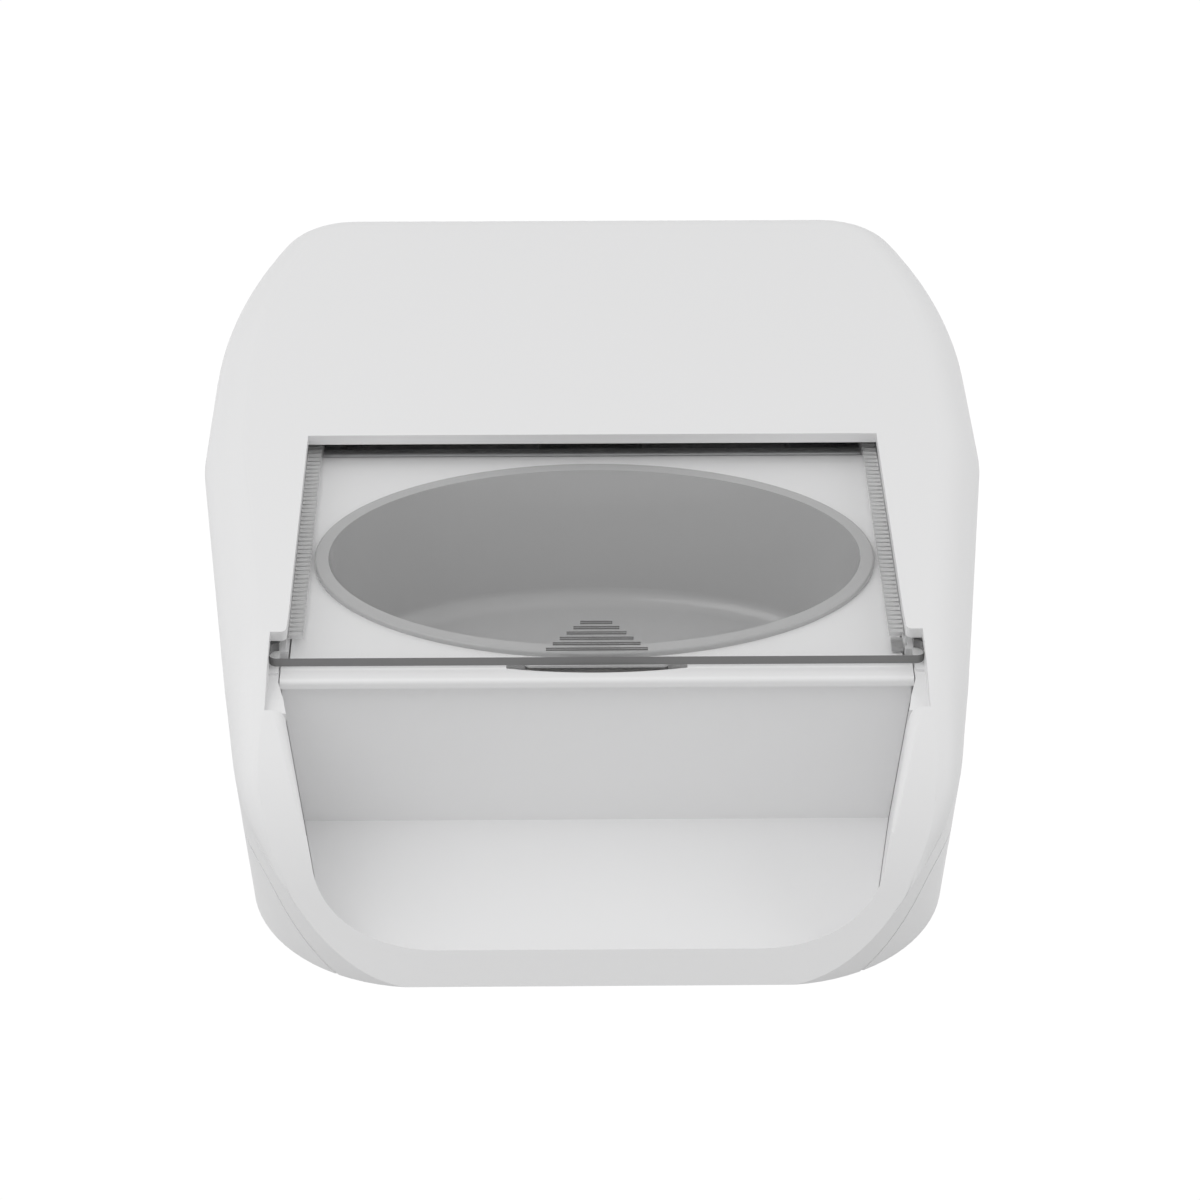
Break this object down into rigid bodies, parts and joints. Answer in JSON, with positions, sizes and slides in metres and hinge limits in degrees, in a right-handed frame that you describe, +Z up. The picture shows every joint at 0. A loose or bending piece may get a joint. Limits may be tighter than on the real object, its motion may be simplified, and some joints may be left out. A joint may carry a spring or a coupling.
{
  "type": "microchip pet feeder",
  "caption": "Low, barrel-sided pet feeder with a clear lid that slides back under the hood by rack and pinion, a lift-out bowl and mat, rear buttons and sliding battery doors",
  "frame": {"origin": "middle of the footprint, on the plane that the rubber feet stand on", "axes": "+Z up; the open front with the bowl faces -Y and the lid slides back along +Y; X runs from the feeder's left to its right"},
  "size_m": [0.23, 0.3268, 0.062],
  "materials": {
    "shell_white": "fine satin moulded plastic",
    "lid_clear": "clear moulded plastic",
    "bowl_grey": "glossy grey moulded plastic",
    "inner_white": "plain moulded plastic",
    "gear_white": "natural acetal",
    "dark_plastic": "black plastic",
    "board_green": "solder mask",
    "steel": "plain steel",
    "coil_copper": "enamelled wire",
    "cell_wrap": "printed sleeve, plain",
    "foot_rubber": "soft rubber"
  },
  "bodies": {
    "housing": {"top_shell": "shell_white", "base_shell": "shell_white", "feeding_mat": "shell_white", "bowl": "bowl_grey", "bowl_carrier": "shell_white", "idler_axle": "steel", "motor": "steel", "mechanism_frame": "inner_white", "shaft_bushes": "gear_white", "gear_cover": "dark_plastic", "gear_cover_screws": "steel", "reader_coil": "coil_copper", "main_board": "board_green", "board_parts": "dark_plastic", "board_spacers": "inner_white", "button_board": "board_green", "push_switches": "dark_plastic", "button_board_screws": "steel", "battery_tray_left": "inner_white", "battery_tray_right": "inner_white", "battery_cells": "cell_wrap", "battery_contacts": "steel", "case_screws": "steel", "frame_screws": "steel", "rubber_feet": "foot_rubber"},
    "lid_body": {"lid": "lid_clear", "rack_left": "inner_white", "rack_right": "inner_white", "lid_magnet": "dark_plastic"},
    "shaft_body": {"drive_shaft": "steel", "pinion_left": "gear_white", "pinion_right": "gear_white", "shaft_gear": "gear_white"},
    "motor_rotor": {"motor_shaft": "steel", "motor_pinion": "gear_white"},
    "idler": {"idler_gear": "gear_white"},
    "add_pet_button_body": {"add_pet_button": "shell_white"},
    "open_close_button_body": {"open_close_button": "shell_white"},
    "door_left_body": {"battery_door_left": "shell_white"},
    "door_right_body": {"battery_door_right": "shell_white"}
  },
  "joints": [
    {"name": "lid_slide", "type": "slide", "parent": "housing", "child": "lid_body", "axis": [0, 1, 0], "range_m": [0, 0.105]},
    {"name": "shaft_turn", "type": "hinge", "parent": "housing", "child": "shaft_body", "pos_m": [0.093, 0.027, 0.04893], "axis": [1, 0, 0], "continuous": true},
    {"name": "idler_turn", "type": "hinge", "parent": "housing", "child": "idler", "pos_m": [0.093, 0.03465, 0.03981], "axis": [1, 0, 0], "continuous": true},
    {"name": "motor_turn", "type": "hinge", "parent": "housing", "child": "motor_rotor", "pos_m": [0.093, 0.04583, 0.03574], "axis": [1, 0, 0], "continuous": true},
    {"name": "add_pet_press", "type": "slide", "parent": "housing", "child": "add_pet_button_body", "axis": [0, -1, 0], "range_m": [0, 0.0012], "stiffness_N_per_m": 600},
    {"name": "open_close_press", "type": "slide", "parent": "housing", "child": "open_close_button_body", "axis": [0, -1, 0], "range_m": [0, 0.0012], "stiffness_N_per_m": 600},
    {"name": "door_left_slide", "type": "slide", "parent": "housing", "child": "door_left_body", "axis": [0, 1, 0], "range_m": [0, 0.088]},
    {"name": "door_right_slide", "type": "slide", "parent": "housing", "child": "door_right_body", "axis": [0, 1, 0], "range_m": [0, 0.088]}
  ],
  "couplings": [
    {"joint": "shaft_turn", "follows": "lid_slide", "rad_per_m": -178.57},
    {"joint": "idler_turn", "follows": "lid_slide", "rad_per_m": 428.57},
    {"joint": "motor_turn", "follows": "lid_slide", "rad_per_m": -1028.6}
  ]
}
